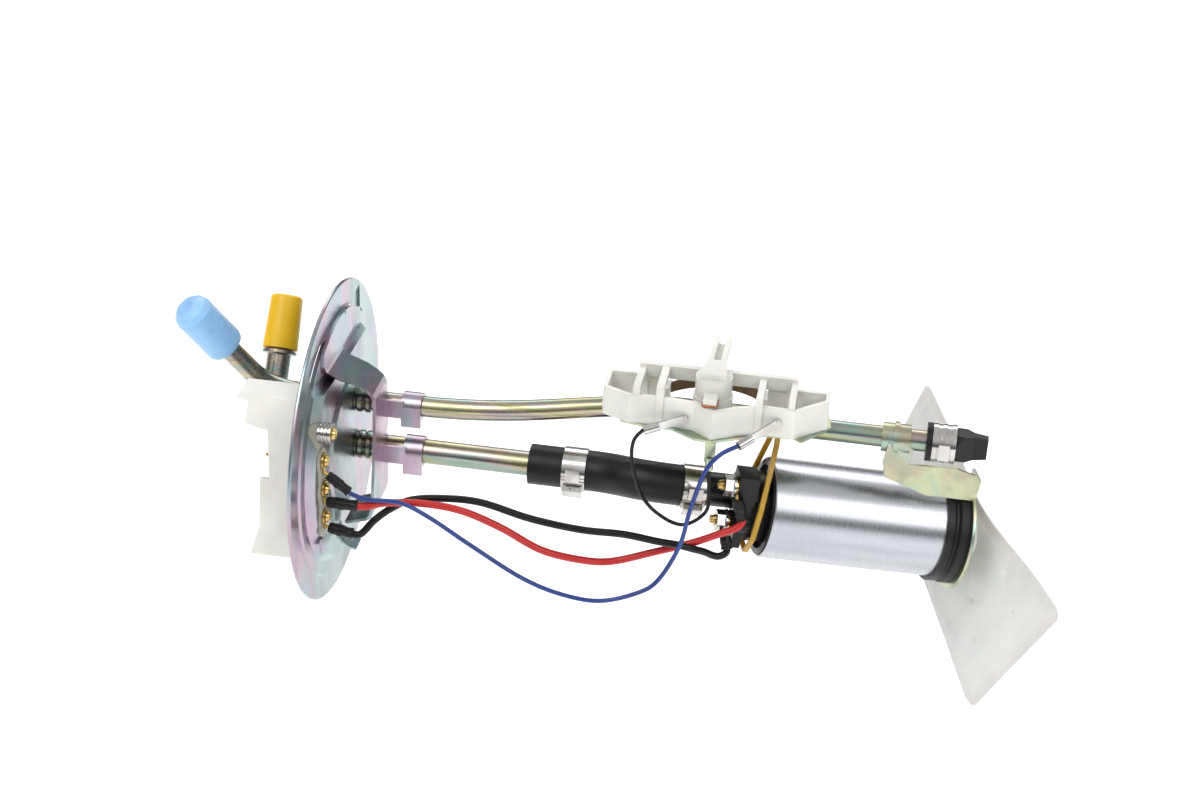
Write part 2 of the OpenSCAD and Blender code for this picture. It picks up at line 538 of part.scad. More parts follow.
cap_face = 2;
module pump_end_cap() color("#2a2a2c") difference() {
  union() {
    pump_axis(cap_face) cylinder(r = pump_r - pump_wall - gap, h = 11);
    pump_axis(cap_face - 2.6) difference() {
      cylinder(r = pump_r - pump_wall - gap, h = 3.2);
      translate([0, 0, -1]) cylinder(r = pump_r - pump_wall - 2.2, h = 6);
    }
    pump_axis(-9.5) intersection() {
      cylinder(d = 27, h = 12);
      translate([-11, -13, -1]) cube([22, 30, 14]);
    }
    in_pump_frame() box([-11.6, -10.9, -13], [-8, 4, -6.5]);
    in_pump_frame() box([lug_x, -12, 6], [-6.5, -2, 17.5]);
    pump_axis(lug_x, stud_at[1][0], stud_at[1][1]) cylinder(d = 8.4, h = 8);
    pump_axis(-11.5, outlet_y, outlet_z) cylinder(d = 15, h = 4);
    pump_axis(hose_end + 0.2, outlet_y, outlet_z) cylinder(d = 13, h = 14);
    pump_axis(neck_tip, outlet_y, outlet_z) rotate_extrude() polygon([[0, 0], [4, 0], [supply_od / 2, 1.2],
      [supply_od / 2, 11], [0, 11]]);
  }
  pump_axis(neck_tip - 1, outlet_y, outlet_z) cylinder(d = 5, h = 34);
  pump_axis(-16, outlet_y, outlet_z) cylinder(d = 7, h = 17);
  pump_axis(6) cylinder(d = 25, h = 10);
  for (s = stud_at) pump_axis(stud_in, s[0], s[1]) mirror([0, 0, 1]) cylinder(d = stud_d + 2 * gap, h = 10);
  pump_axis(4) cylinder(d = bush_d + 2 * gap, h = 4);
  pump_axis(-7.5, relief_at[0], relief_at[1]) cylinder(d = 4.4, h = 16);
  pump_axis(-10, relief_at[0], relief_at[1]) cylinder(d = 2.4, h = 16);
}
stud_at = [[-8.6, 12], [-8.6, -3]];
stud_in = -8;
stud_tip = -21.3;
relief_at = [4, -8.5];

// Check poppet in the outlet and relief poppet in the cap
module outlet_check_valve() color("#8a8d92") pump_axis(-10, outlet_y, outlet_z) rotate_extrude()
  polygon([[0, 0], [1.2, 0], [1.2, 6.2], [3, 7.2], [3, 9], [0, 9]]);
module relief_valve() color("#8a8d92") pump_axis(-6.6, relief_at[0], relief_at[1]) rotate_extrude()
  polygon([[0, 0], [1.9, 0], [1.9, 1.4], [0.8, 2.2], [0.8, 5], [0, 5]]);

module terminal_studs() color("#c6a03f") for (s = stud_at) pump_axis(stud_tip, s[0], s[1])
  cylinder(d = stud_d, h = stud_in - stud_tip);
module stud_nuts() color("#c9ccce") for (s = stud_at) pump_axis(lug_x - 4.85, s[0], s[1]) difference() {
  union() {
    cylinder(d = 8, h = 3.2, $fn = 6);
    translate([0, 0, 3.2]) cylinder(d = 9, h = 0.8);
  }
  translate([0, 0, -1]) cylinder(d = stud_d + 2 * gap, h = 8);
}

// Motor
motor_x = 20;
module magnet(a) pump_axis(motor_x - 3) rotate([0, 0, a]) rotate_extrude(angle = 130)
  translate([armature_d / 2 + 0.6, 0]) square([pump_r - pump_wall - gap - armature_d / 2 - 0.6, inlet_x - motor_x - 2]);
module magnet_left() color("#4a4a4e") magnet(25);
module magnet_right() color("#4a4a4e") magnet(205);
bush_d = 10;
module bush(x) pump_axis(x) annulus(bush_d, shaft_d + 2 * bush_gap, 4);
module front_bush() color("#b08d57") bush(4);
module rear_bush() color("#b08d57") bush(inlet_x + 2);
module brush(a) pump_axis(10) rotate([0, 0, a]) translate([5.6, -2.4, 0]) cube([5, 4.8, 4.4]);
module brush_left() color("#3a3a3c") brush(0);
module brush_right() color("#3a3a3c") brush(180);
module brush_springs() color("#b9b5ac") for (a = [0, 180]) pump_axis(12.2) rotate([0, 0, a])
  for (i = [0 : 2]) translate([10.7 + i * 0.55, 0, 0]) rotate([0, 90, 0]) annulus(3.6, 2.8, 0.45);
module armature() color("#8c5a3c") pump_axis() {
  translate([0, 0, 4.2]) cylinder(d = shaft_d, h = inlet_x + 10 - 4.2);
  translate([0, 0, 9.5]) cylinder(d = 11, h = 5.4);
  translate([0, 0, 14.9]) cylinder(d = 8, h = motor_x - 14.9);
  translate([0, 0, motor_x]) difference() {
    cylinder(d = armature_d, h = armature_len);
    for (a = [0 : 45 : 315]) rotate([0, 0, a + 10]) translate([7, -0.9, -1]) cube([10, 1.8, armature_len + 2]);
  }
}
inlet_x = pump_len - 16;
armature_len = inlet_x - motor_end_gap - motor_x;
module inlet_body() color("#d8d8d2") pump_axis() difference() {
  translate([0, 0, inlet_x]) cylinder(r = pump_r - pump_wall - gap, h = 8);
  translate([0, 0, inlet_x - 4]) cylinder(d = shaft_d + 0.6, h = 20);
  translate([0, 0, inlet_x - 1]) cylinder(d = bush_d + 2 * gap, h = 7.05);
  translate([0, 0, inlet_x + 6]) cylinder(d = impeller_d + 0.4, h = 3);
  translate([0, 12, inlet_x - 4]) cylinder(d = 4, h = 20);
}
module impeller() color("#e2d8b0") pump_axis(inlet_x + 6.2) difference() {
  cylinder(d = impeller_d, h = 1.6);
  translate([0, 0, -1]) cylinder(d = shaft_d, h = 4);
  for (a = [0 : 30 : 330]) rotate([0, 0, a]) translate([impeller_d / 2 - 2.2, -0.8, -1]) cube([4, 1.6, 4]);
}
neck_y = -2;
neck_z = -3;
neck_d = 11;
neck_len = 18;
module inlet_cover() color("#d8d8d2") difference() {
  union() {
    pump_axis(inlet_x + 8 + gap) cylinder(r = pump_r - pump_wall - gap, h = 8 - pump_wall - 2 * gap);
    pump_axis(inlet_x + 12, neck_y, neck_z) cylinder(d = neck_d, h = neck_len);
  }
  pump_axis(inlet_x + 6, neck_y, neck_z) cylinder(d = neck_d - 2.4, h = neck_len + 8);
  pump_axis(inlet_x + 7) cylinder(d = shaft_d + 0.6, h = 4);
}

boot_x = pump_len - 3;
boot_end = pump_len + 5.5;
module rubber_boot() color("#232325") pump_axis() difference() {
  rotate_extrude() polygon([[0, pump_len + gap], [pump_r + gap, pump_len + gap], [pump_r + gap, boot_x],
    [pump_r + 1.6, boot_x], [pump_r + 1.6, boot_x + 2.4], [pump_r + 0.7, boot_x + 3.2], [pump_r + 0.7, boot_x + 4.2],
    [pump_r + 1.9, boot_x + 5], [pump_r + 1.9, boot_end], [0, boot_end]]);
  translate([neck_y, neck_z, pump_len - 10]) cylinder(d = neck_d + 2 * gap, h = 30);
}

disc_x = boot_end + gap;
// Where the bracket clips on the return tube
clip_x = 204.2;
clip_len = 10.6;
module pump_bracket() color("#c3c9a4") difference() {
  union() {
    pump_axis(disc_x) difference() {
      cylinder(d = 46, h = 1.2);
      translate([neck_y, neck_z, -1]) cylinder(d = 13, h = 4);
    }
    in_pump_frame() box([disc_x, -11.1, 12], [disc_x + 1.2, -2, 28]);
    in_pump_frame() translate([0, -9.9, 0]) rotate([90, 0, 0]) linear_extrude(height = 1.2)
      polygon([[37.7, 30.6], [39.4, 24.7], [disc_x - 18.6, 19], [disc_x + 1.2, 19], [disc_x + 1.2, 26],
        [disc_x + 0.4, 28], [disc_x - 1.4, 29.6], [disc_x - 9.5, 31.5], [47.5, 31]]);
    in_pump_frame() box([37.4, -11.1, 30], [47.4, -9.9, 39]);
    along_x(clip_x, sender_y, sender_z) cylinder(d = return_od + 3, h = clip_len);
    along_x(clip_x + 4.4, sender_y, sender_z) cylinder(d = return_od + 4.4, h = 1.8);
  }
  along_x(clip_x - 4, sender_y, sender_z) cylinder(d = return_od + 0.04, h = clip_len + 9);
}

// Strainer bag standing on the inlet neck
function bag_x() = [cos(bag_yaw) * cos(bag_pitch), sin(bag_yaw) * cos(bag_pitch), -sin(bag_pitch)];
bag_at = in_pump([disc_x + 1.2, 0, 0]) + bag_off * bag_x();
module in_bag_frame() translate(bag_at) rotate([0, bag_pitch, bag_yaw]) children();
bag_turn = 35;
bag_corner = [43.5, 50];
module bag_plate(inset, t) in_bag_frame() rotate([90, 0, 90]) translate([0, 0, -t / 2])
  linear_extrude(height = t) translate(bag_corner) rotate([0, 0, 180 + bag_turn])
    translate([inset, inset]) square([bag_len - 2 * inset, bag_wid - 2 * inset]);
module strainer() color("#d6d7d4") difference() {
  union() {
    bag_plate(0, 1);
    bag_plate(5, bag_t);
  }
  pump_axis(disc_x + 1.3, neck_y, neck_z) cylinder(d = 18.1, h = 12);
  in_hub_frame() cylinder(d = 14.1, h = 12.6);
}
module in_hub_frame() along(in_pump([disc_x + 7, neck_y, neck_z]), bag_x()) children();
module strainer_hub() color("#e4e3dc") difference() {
  union() {
    pump_axis(disc_x + 1.3, neck_y, neck_z) cylinder(d = 18, h = 9);
    in_hub_frame() cylinder(d = 14, h = 12.5);
  }
  pump_axis(pump_len, neck_y, neck_z) cylinder(d = neck_d + 2 * gap, h = neck_len - 4 + 2 * gap);
  in_hub_frame() translate([0, 0, 2]) cylinder(d = 8, h = 12);
}

// Return end of the tube
duck_x = return_end_x - 7.5;
duck_d = 12.6;
lip_x = return_end_x + 3.6;
lip_end = return_end_x + 15;
module duckbill_valve() color("#222224") difference() {
  union() {
    along_x(duck_x, sender_y, sender_z) cylinder(d = duck_d + 1.8, h = 2.1);
    along_x(duck_x + 2.1, sender_y, sender_z) cylinder(d = duck_d, h = lip_x - duck_x - 2.1);
    intersection() {
      along_x(lip_x, sender_y, sender_z) cylinder(d = duck_d, h = lip_end - lip_x);
      translate([0, sender_y + 10, sender_z]) rotate([90, 0, 0]) linear_extrude(height = 20)
        polygon([[lip_x, -5.4], [lip_end, -4.25], [lip_end, 4.25], [lip_x, 5.4]]);
      translate([0, sender_y, sender_z - 10]) linear_extrude(height = 20)
        polygon([[lip_x, -6], [lip_x + 6.4, -2], [lip_end, -1.4], [lip_end, 1.4], [lip_x + 6.4, 2], [lip_x, 6]]);
    }
  }
  along_x(duck_x - 0.5, sender_y, sender_z) cylinder(d = return_od + 2 * gap, h = 9);
  along_x(return_end_x, sender_y, sender_z) cylinder(d = 5, h = 5);
  box([return_end_x + 4, sender_y - 0.15, sender_z - 2.5], [lip_end + 1, sender_y + 0.15, sender_z + 2.5]);
}
module valve_clamp() color("#c4c8ca") along_x(duck_x + 2.2, sender_y, sender_z) {
  annulus(14.2, duck_d + 2 * gap, 8.6);
  for (z = [0, 3.4, 6.8]) translate([0, 0, z]) annulus(14.8, duck_d + 2 * gap, 1.8);
  rotate([0, 0, 180]) translate([6.8, -3.2, 2.4]) cube([1.3, 6.4, 4]);
}

band_path = [[164, 21.4, 14], [164.5, 20.9, 24.75], [166, 10.1, 24.75], [166, 9.6, 14], in_pump([-4.5, -15, 6]),
  in_pump([-5, -15, -6]), in_pump([-5, -9.4, -15]), in_pump([-5, 10, -15]), in_pump([-4, 15.2, 0]), [164, 21.4, 14]];
module band_slot() box([162.2, 8.6, 23], [168.6, 22, 26.1]);
module retaining_band() color("#c8a032") {
  bent_tube([for (i = [0 : 9]) i == 0 || i == 9 ? (band_path[0] + band_path[8]) / 2 : band_path[i]],
    [0, 2, 2, 3, 3, 3, 3, 3, 3, 0], 2.2, 0);
  along((band_path[0] + band_path[8]) / 2 - 0.5 * unit(band_path[0] - band_path[8]), band_path[0] - band_path[8])
    cylinder(d = 2.4, h = 1);
}

module blue_cap() color("#86b4dc") along(blue_corner + 27 * blue_dir, blue_dir) difference() {
  r = blue_cap_d / 2;
  h = blue_cap_len;
  rotate_extrude() polygon([[0, 0], [r - 1.6, 0], [r - 0.5, 0.7], [r, 2.2], [r, h - 4.6], [r - 0.8, h - 2.2],
    [r - 2.6, h - 0.5], [r - 4, h], [2.5, h], [1.8, h - 0.8], [0, h - 1]]);
  translate([0, 0, -1]) cylinder(d = 11, h = h - 1.5);
}
module yellow_cap() color("#e0bd2c") along(yellow_corner + 33 * yellow_dir, yellow_dir) difference() {
  rotate_extrude() polygon([[0, 0], [yellow_cap_d / 2, 0], [yellow_cap_d / 2 - 0.65, yellow_cap_len - 0.8],
    [yellow_cap_d / 2 - 1.3, yellow_cap_len], [0, yellow_cap_len]]);
  translate([0, 0, -1]) cylinder(d = supply_od + 4 * gap, h = yellow_cap_len - 1);
}

flange_plate();
connector_housing();
connector_pins();
terminal_insulator();
terminal_stack();
hanger_bracket();
supply_tube();
return_tube();
fuel_hose();
hose_clamp_front();
hose_clamp_rear();
sender_base_plate();
sender_housing();
resistor_card();
sender_terminals();
ground_terminal();
sender_rotor();
wiper_contact();
blue_wire();
red_wire();
black_wire();
ground_wire();
ring_terminals();
wire_sleeves();
pump_shell();
pump_end_cap();
outlet_check_valve();
relief_valve();
terminal_studs();
stud_nuts();
magnet_left();
magnet_right();
front_bush();
rear_bush();
brush_left();
brush_right();
brush_springs();
inlet_body();
inlet_cover();
impeller();
armature();
rubber_boot();
pump_bracket();
strainer_hub();
strainer();
duckbill_valve();
valve_clamp();
retaining_band();
blue_cap();
yellow_cap();
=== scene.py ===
"""Looks of the fuel pump module.

Everything is in metres in the CAD frame: +X points into the tank, +Y away from the viewer and +Z up.
Dimensions typed in millimetres are multiplied by MM.
"""
import json
import math

import bmesh
import bpy
from mathutils import Matrix, Vector


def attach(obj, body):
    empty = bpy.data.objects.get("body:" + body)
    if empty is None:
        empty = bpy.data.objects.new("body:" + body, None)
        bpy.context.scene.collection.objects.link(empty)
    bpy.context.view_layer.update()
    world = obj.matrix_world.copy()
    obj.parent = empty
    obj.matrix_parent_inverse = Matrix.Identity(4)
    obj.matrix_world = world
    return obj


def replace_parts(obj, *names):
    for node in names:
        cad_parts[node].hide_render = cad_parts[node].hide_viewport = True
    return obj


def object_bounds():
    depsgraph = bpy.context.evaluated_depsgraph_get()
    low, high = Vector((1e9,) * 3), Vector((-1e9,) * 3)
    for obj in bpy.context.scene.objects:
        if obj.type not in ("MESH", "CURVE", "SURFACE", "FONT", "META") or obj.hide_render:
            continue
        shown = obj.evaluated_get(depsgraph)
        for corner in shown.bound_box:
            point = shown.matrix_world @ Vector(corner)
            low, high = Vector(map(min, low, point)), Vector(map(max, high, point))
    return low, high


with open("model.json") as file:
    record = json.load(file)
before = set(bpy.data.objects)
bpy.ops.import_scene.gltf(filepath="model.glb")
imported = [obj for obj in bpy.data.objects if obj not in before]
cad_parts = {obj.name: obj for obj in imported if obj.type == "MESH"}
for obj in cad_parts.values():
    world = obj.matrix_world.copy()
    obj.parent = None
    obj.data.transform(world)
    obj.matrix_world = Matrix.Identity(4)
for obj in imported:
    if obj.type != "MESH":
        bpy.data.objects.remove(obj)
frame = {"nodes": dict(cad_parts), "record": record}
cad_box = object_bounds()
nodes = frame["nodes"]
MM = 0.001
X_AXIS, Y_AXIS, Z_AXIS = Vector((1, 0, 0)), Vector((0, 1, 0)), Vector((0, 0, 1))

# Camera
AZIMUTH, ELEVATION, ROLL = (math.radians(a) for a in (8.16, 28.0, 2.65))
TARGET, DISTANCE = Vector((0.1002, 0, 0.02949)), 0.776
FOCAL, SENSOR = 63.15, 36


def make_camera():
    look = Vector((-math.sin(AZIMUTH) * math.cos(ELEVATION), math.cos(AZIMUTH) * math.cos(ELEVATION),
                   -math.sin(ELEVATION)))
    side = Vector((math.cos(AZIMUTH), math.sin(AZIMUTH), 0))
    up = side.cross(look)
    right = math.cos(ROLL) * side + math.sin(ROLL) * up
    top = math.cos(ROLL) * up - math.sin(ROLL) * side
    turn = Matrix((right, top, -look)).transposed().to_4x4()
    cam = bpy.data.objects.new("camera", bpy.data.cameras.new("camera"))
    cam.data.lens = FOCAL
    cam.data.sensor_width = SENSOR
    cam.matrix_world = Matrix.Translation(TARGET - DISTANCE * look) @ turn
    bpy.context.scene.collection.objects.link(cam)
    bpy.context.scene.camera = cam


make_camera()

# Pump frame, as in the CAD source
PUMP_YAW, PUMP_PITCH = math.radians(15), math.radians(8.5)
PUMP_AT = Vector((162.7, 9.2, -12.9)) * MM
PUMP_TURN = Matrix.Rotation(PUMP_YAW, 4, "Z") @ Matrix.Rotation(PUMP_PITCH, 4, "Y")


def in_pump(x, y, z):
    """A point given in the pump's own frame: x along its shaft, millimetres."""
    return PUMP_AT + PUMP_TURN @ (Vector((x, y, z)) * MM)


def mm(*points):
    """Points given in millimetres."""
    return [Vector(p) * MM for p in points]


# Every modelled piece with its material slot
made = []


def link(name, data, slot):
    """Adds a piece that stands still with the module."""
    piece = bpy.data.objects.new(name, data)
    bpy.context.scene.collection.objects.link(piece)
    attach(piece, "module")
    made.append((piece, slot))
    return piece


# Wires, on the routes of the CAD source
TERM_Y = -37
SLEEVE_START = [(6.8, TERM_Y, 5.9), (6.3, TERM_Y, -5.6), (6.7, TERM_Y, -16.4)]
SLEEVE_END = [(14.6, TERM_Y, -0.2), (17.9, TERM_Y, -5.8), (15.9, TERM_Y, -18)]
LUG_X, LUG_T = -14.15, 0.8
LUG_FACE = LUG_X - LUG_T / 2
PUMP_SLEEVE = [((LUG_FACE, -14.6, 10.6), (-11, -15.6, 2.4)), ((LUG_FACE, -10.6, -7.6), (-13.2, -13, -12.6))]
SLEEVES = [(Vector(a) * MM, Vector(b) * MM) for a, b in zip(SLEEVE_START, SLEEVE_END)]
SLEEVES += [(in_pump(*a), in_pump(*b)) for a, b in PUMP_SLEEVE]
LEFT_END, RIGHT_END = mm((118.3, -13, 26.2), (153.3, -15, 25.2))
INSIDE = 1.5
WIRE_STEPS = 8


def smooth_line(points, steps):
    """Catmull-Rom through the points, as the CAD source draws its wires."""
    line = []
    last = len(points) - 1
    for i in range(last):
        a, b, c, d = (points[max(i - 1, 0)], points[i], points[i + 1], points[min(i + 2, last)])
        for k in range(steps):
            t = k / steps
            line.append(0.5 * (2 * b + (c - a) * t + (2 * a - 5 * b + 4 * c - d) * t ** 2
                               + (3 * b - a - 3 * c + d) * t ** 3))
    return line + [points[last]]


def mouth(i, out):
    """A wire's last two points at a sleeve: inside it, then straight out of its mouth."""
    start, end = SLEEVES[i]
    along = (end - start).normalized() * MM
    return [end - INSIDE * along, end + out * along]


def round_cord(name, points, diameter, slot):
    """A round wire along the points, as a curve of one open spline."""
    curve = bpy.data.curves.new(name, "CURVE")
    curve.dimensions = "3D"
    curve.bevel_depth = 1
    curve.bevel_resolution = 6
    curve.use_fill_caps = True
    spline = curve.splines.new("POLY")
    spline.points.add(len(points) - 1)
    for point, place in zip(spline.points, points):
        point.co = (*place, 1)
        point.radius = diameter / 2
    spline.use_smooth = True
    return link(name, curve, slot)


BLUE_ROUTE = mouth(0, 1.5) + mm(
    (22, -36.5, -2.9), (33.3, -35.2, -3.4), (44.1, -33.6, -9.3), (58.9, -32, -19.8), (77.7, -30.4, -32.1),
    (92.7, -28.8, -38.4), (107.6, -27.2, -40.3), (122.2, -25.6, -35.2), (129.1, -24, -29),
    (135.5, -22.4, -14.7), (138.2, -20.8, -0.3), (142.5, -19.2, 15.3), (147.3, -17.6, 22.2)) + [RIGHT_END]
RED_ROUTE = mouth(1, 1.5) + mm(
    (23, -35.9, -5.5), (27.3, -34, -5), (39.8, -31.2, -5), (54.3, -28.4, -7.7), (69, -25.6, -14.7),
    (83.9, -22.8, -24), (98.9, -20, -28), (110, -17.2, -28.7), (124.7, -14.4, -24.4),
    (139.4, -11.6, -19.7)) + [
    in_pump(-17.1, -15.5, -4.5), in_pump(-13.7, -15.9, -2.4), in_pump(-11.6, -16, -0.4)] + mouth(3, 0.8)[::-1]
BLACK_ROUTE = mouth(2, 1.5) + mm(
    (19.6, -36.1, -17.2), (23.3, -34.2, -12.8), (28.5, -31.5, -8.9), (35.5, -28.9, -5.6), (46.2, -26.2, -4.9),
    (60.8, -23.5, -6.2), (79.3, -20.9, -12.2), (98, -18.8, -15.6), (113.6, -17.9, -15.9), (127.2, -17, -17.8),
    (133.5, -16.4, -18.5), (139.4, -14.6, -20.6), (143.7, -12, -22.9)) + [
    in_pump(-18.4, -14.4, -15.2), in_pump(-15.9, -14, -15.6),
    in_pump(-14, -13.7, -14.8)] + mouth(4, 0.8)[::-1]
GROUND_ROUTE = [LEFT_END] + mm(
    (115.1, -13, 21.2), (115, -13.6, 12.9), (118.4, -14.4, 1.7), (122.8, -15, -4.5), (129.1, -15.6, -8.6),
    (134.1, -16, -9.9), (137.8, -16.2, -8.8), (141.9, -16, -5.5), (144.1, -15.4, -1.6), (143.9, -14, 4.9),
    (143.2, -12.8, 13))
# Route, diameter, length and material slot of each
WIRES = {
    "blue_wire": (BLUE_ROUTE, 0.0017, 0.1936, "blue_insulation"),
    "red_wire": (RED_ROUTE, 0.0028, 0.1555, "red_insulation"),
    "black_wire": (BLACK_ROUTE, 0.0028, 0.1528, "black_insulation"),
    "ground_wire": (GROUND_ROUTE, 0.0014, 0.0753, "black_insulation"),
}


def make_wires():
    for node, (route, diameter, length, slot) in WIRES.items():
        wire = round_cord(node + "_lead", smooth_line(route, WIRE_STEPS), diameter, slot)
        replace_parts(wire, node)


make_wires()


# Mesh tools
# A direction that no path starts along
ACROSS = Vector((0.05, 1, 0.02))


def frames_along(path):
    """The point, the direction ahead and two sides across it, at each place on a path."""
    out = []
    side = None
    last = len(path) - 1
    for i, point in enumerate(path):
        ahead = (path[min(i + 1, last)] - path[max(i - 1, 0)]).normalized()
        side = ACROSS.cross(ahead) if side is None else side - ahead * side.dot(ahead)
        side.normalize()
        out.append((point, ahead, side, ahead.cross(side)))
    return out


def ring(middle, side, up, radii):
    """Points round a middle, one for each radius."""
    turns = [2 * math.pi * k / len(radii) for k in range(len(radii))]
    return [middle + radius * (math.cos(a) * side + math.sin(a) * up) for a, radius in zip(turns, radii)]


def lofted(rings, closed=False):
    """Vertices and faces through rings of equal size, round once more to the first where closed."""
    n = len(rings[0])
    verts = [v for loop in rings for v in loop]
    faces = []
    for i in range(len(rings) if closed else len(rings) - 1):
        here, there = i * n, (i + 1) % len(rings) * n
        faces += [(here + k, here + (k + 1) % n, there + (k + 1) % n, there + k) for k in range(n)]
    if not closed:
        faces += [tuple(reversed(range(n))), tuple((len(rings) - 1) * n + k for k in range(n))]
    return verts, faces


def revolved(profile, origin, x, y, z, sides):
    """A closed (radius, height) profile in millimetres, turned round z at origin."""
    rings = []
    for k in range(sides):
        turn = 2 * math.pi * k / sides
        out = math.cos(turn) * x + math.sin(turn) * y
        rings.append([origin + r * MM * out + h * MM * z for r, h in profile])
    return lofted(rings, closed=True)


def prism(outline, y0, y1):
    """A closed prism of an (X, Z) outline in millimetres, from y0 to y1."""
    return lofted([[Vector((x, y, z)) * MM for x, z in outline] for y in (y0, y1)])


def joined(name, parts):
    """One mesh of (vertices, faces) parts, its normals facing out."""
    verts, faces = [], []
    for part_verts, part_faces in parts:
        faces += [tuple(i + len(verts) for i in face) for face in part_faces]
        verts += part_verts
    mesh = bpy.data.meshes.new(name)
    mesh.from_pydata([tuple(v) for v in verts], [], faces)
    work = bmesh.new()
    work.from_mesh(mesh)
    bmesh.ops.recalc_face_normals(work, faces=work.faces)
    work.to_mesh(mesh)
    work.free()
    mesh.update()
    return mesh


def smoothed(mesh, sharp):
    """Smooth shading, with edges kept over an angle in degrees."""
    mesh.shade_smooth()
    mesh.set_sharp_from_angle(angle=math.radians(sharp))


def solid(name, parts, slot):
    """One smooth mesh piece."""
    mesh = joined(name, parts)
    smoothed(mesh, 38)
    return link(name, mesh, slot)


def carve(piece, parts):
    """Cuts a piece with the closed forms in parts."""
    tool = bpy.data.objects.new("tool", joined("tool", parts))
    bpy.context.scene.collection.objects.link(tool)
    cut = piece.modifiers.new("cut", "BOOLEAN")
    cut.object = tool
    cut.solver = "EXACT"
    view = bpy.context.evaluated_depsgraph_get()
    view.update()
    piece.data = bpy.data.meshes.new_from_object(piece.evaluated_get(view))
    piece.modifiers.clear()
    bpy.data.objects.remove(tool)


def soften(piece, width, angle):
    """Rounds the edges of a moulding that are sharper than an angle in degrees."""
    edge = piece.modifiers.new("edges", "BEVEL")
    edge.width = width * MM
    edge.segments = 3
    edge.limit_method = "ANGLE"
    edge.angle_limit = math.radians(angle)
    edge.use_clamp_overlap = True


# Heat shrink sleeves
FLANGE_WIDTHS = [w * MM for w in (1.7, 1.95, 2.0, 2.1, 1.85, 1.8, 2.0)]
PUMP_WIDTHS = [w * MM for w in (2.0, 2.2, 2.25, 2.1, 2.0, 2.2)]
THIN_FIT, THICK_FIT = 0.94, 1.08
THIN_BORE, THICK_BORE = 1.8 * MM, 2.9 * MM
LUG_OVERLAP = 0.9 * MM
SLEEVE_SIDES, SLEEVE_STEPS, MOUTH_DEPTH = 28, 4, 1.2 * MM


def shrink_sleeve(start, end, widths, bore):
    """Heat shrink over a crimp: outside radii along it, open at its far end round the wire."""
    along = end - start
    path = [start + along * i / (len(widths) - 1) for i in range(len(widths))]
    frames = frames_along(smooth_line(path, SLEEVE_STEPS))
    size = smooth_line([Vector((w, 0, 0)) for w in widths], SLEEVE_STEPS)
    turns = [2 * math.pi * k / SLEEVE_SIDES for k in range(SLEEVE_SIDES)]
    rings = []
    for i, ((point, ahead, side, up), w) in enumerate(zip(frames, size)):
        crease = [1 + 0.025 * math.sin(3 * a + i * 0.9) + 0.018 * math.sin(7 * a - i * 1.7) for a in turns]
        rings.append(ring(point, side, up, [w.x * c for c in crease]))
    point, ahead, side, up = frames[-1]
    for depth in (0, MOUTH_DEPTH):
        rings.append(ring(point - ahead * depth, side, up, [bore / 2] * SLEEVE_SIDES))
    return lofted(rings)


def heat_shrink_sleeves():
    parts = [shrink_sleeve(*SLEEVES[0], [w * THIN_FIT for w in FLANGE_WIDTHS], THIN_BORE)]
    parts += [shrink_sleeve(*SLEEVES[i], [w * THICK_FIT for w in FLANGE_WIDTHS], THICK_BORE) for i in (1, 2)]
    for start, end in SLEEVES[3:]:
        crimp = start + LUG_OVERLAP * (end - start).normalized()
        parts.append(shrink_sleeve(crimp, end, PUMP_WIDTHS, THICK_BORE))
    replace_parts(solid("heat_shrink_sleeves", parts, "black_rubber"), "wire_sleeves")


heat_shrink_sleeves()

# Retaining band: a flat strap round the pump cap and through the sender plate
BAND_CORNERS = mm((164.5, 20.9, 24.75), (166, 10.1, 24.75), (166, 9.6, 14)) + [
    in_pump(-4.5, -15, 6), in_pump(-5, -15, -6), in_pump(-5, -9.4, -15), in_pump(-5, 10, -15),
    in_pump(-4, 15.2, 0)] + mm((164, 21.4, 14))
BAND_ROUNDS = [2, 2, 3, 3, 3, 3, 3, 3, 3]
BAND_WIDE, BAND_THICK = 2.1, 1.3
BAND_SECTION = ((-1, -0.6), (-0.8, -1), (0.8, -1), (1, -0.6), (1, 0.6), (0.8, 1), (-0.8, 1), (-1, 0.6))


def rounded_loop(corners, rounds):
    """A closed line with its corners rounded, each by a short curve."""
    line = []
    n = len(corners)
    for i, corner in enumerate(corners):
        back = (corners[i - 1] - corner).normalized()
        ahead = (corners[(i + 1) % n] - corner).normalized()
        cut = rounds[i] * MM * math.tan((math.pi - back.angle(ahead)) / 2)
        a, b = corner + cut * back, corner + cut * ahead
        line += [a * (1 - t) ** 2 + corner * 2 * t * (1 - t) + b * t ** 2 for t in (0, 0.2, 0.4, 0.6, 0.8, 1)]
    return line


def band_strap():
    loop = rounded_loop(BAND_CORNERS, BAND_ROUNDS)
    wide = PUMP_TURN.to_3x3() @ X_AXIS
    n = len(loop)
    rings = []
    for i, point in enumerate(loop):
        ahead = (loop[(i + 1) % n] - loop[i - 1]).normalized()
        side = (wide - ahead * wide.dot(ahead)).normalized()
        up = ahead.cross(side)
        rings.append([point + MM * (BAND_WIDE / 2 * u * side + BAND_THICK / 2 * v * up)
                      for u, v in BAND_SECTION])
    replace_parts(solid("band_strap", [lofted(rings, closed=True)], "amber_rubber"), "retaining_band")


band_strap()

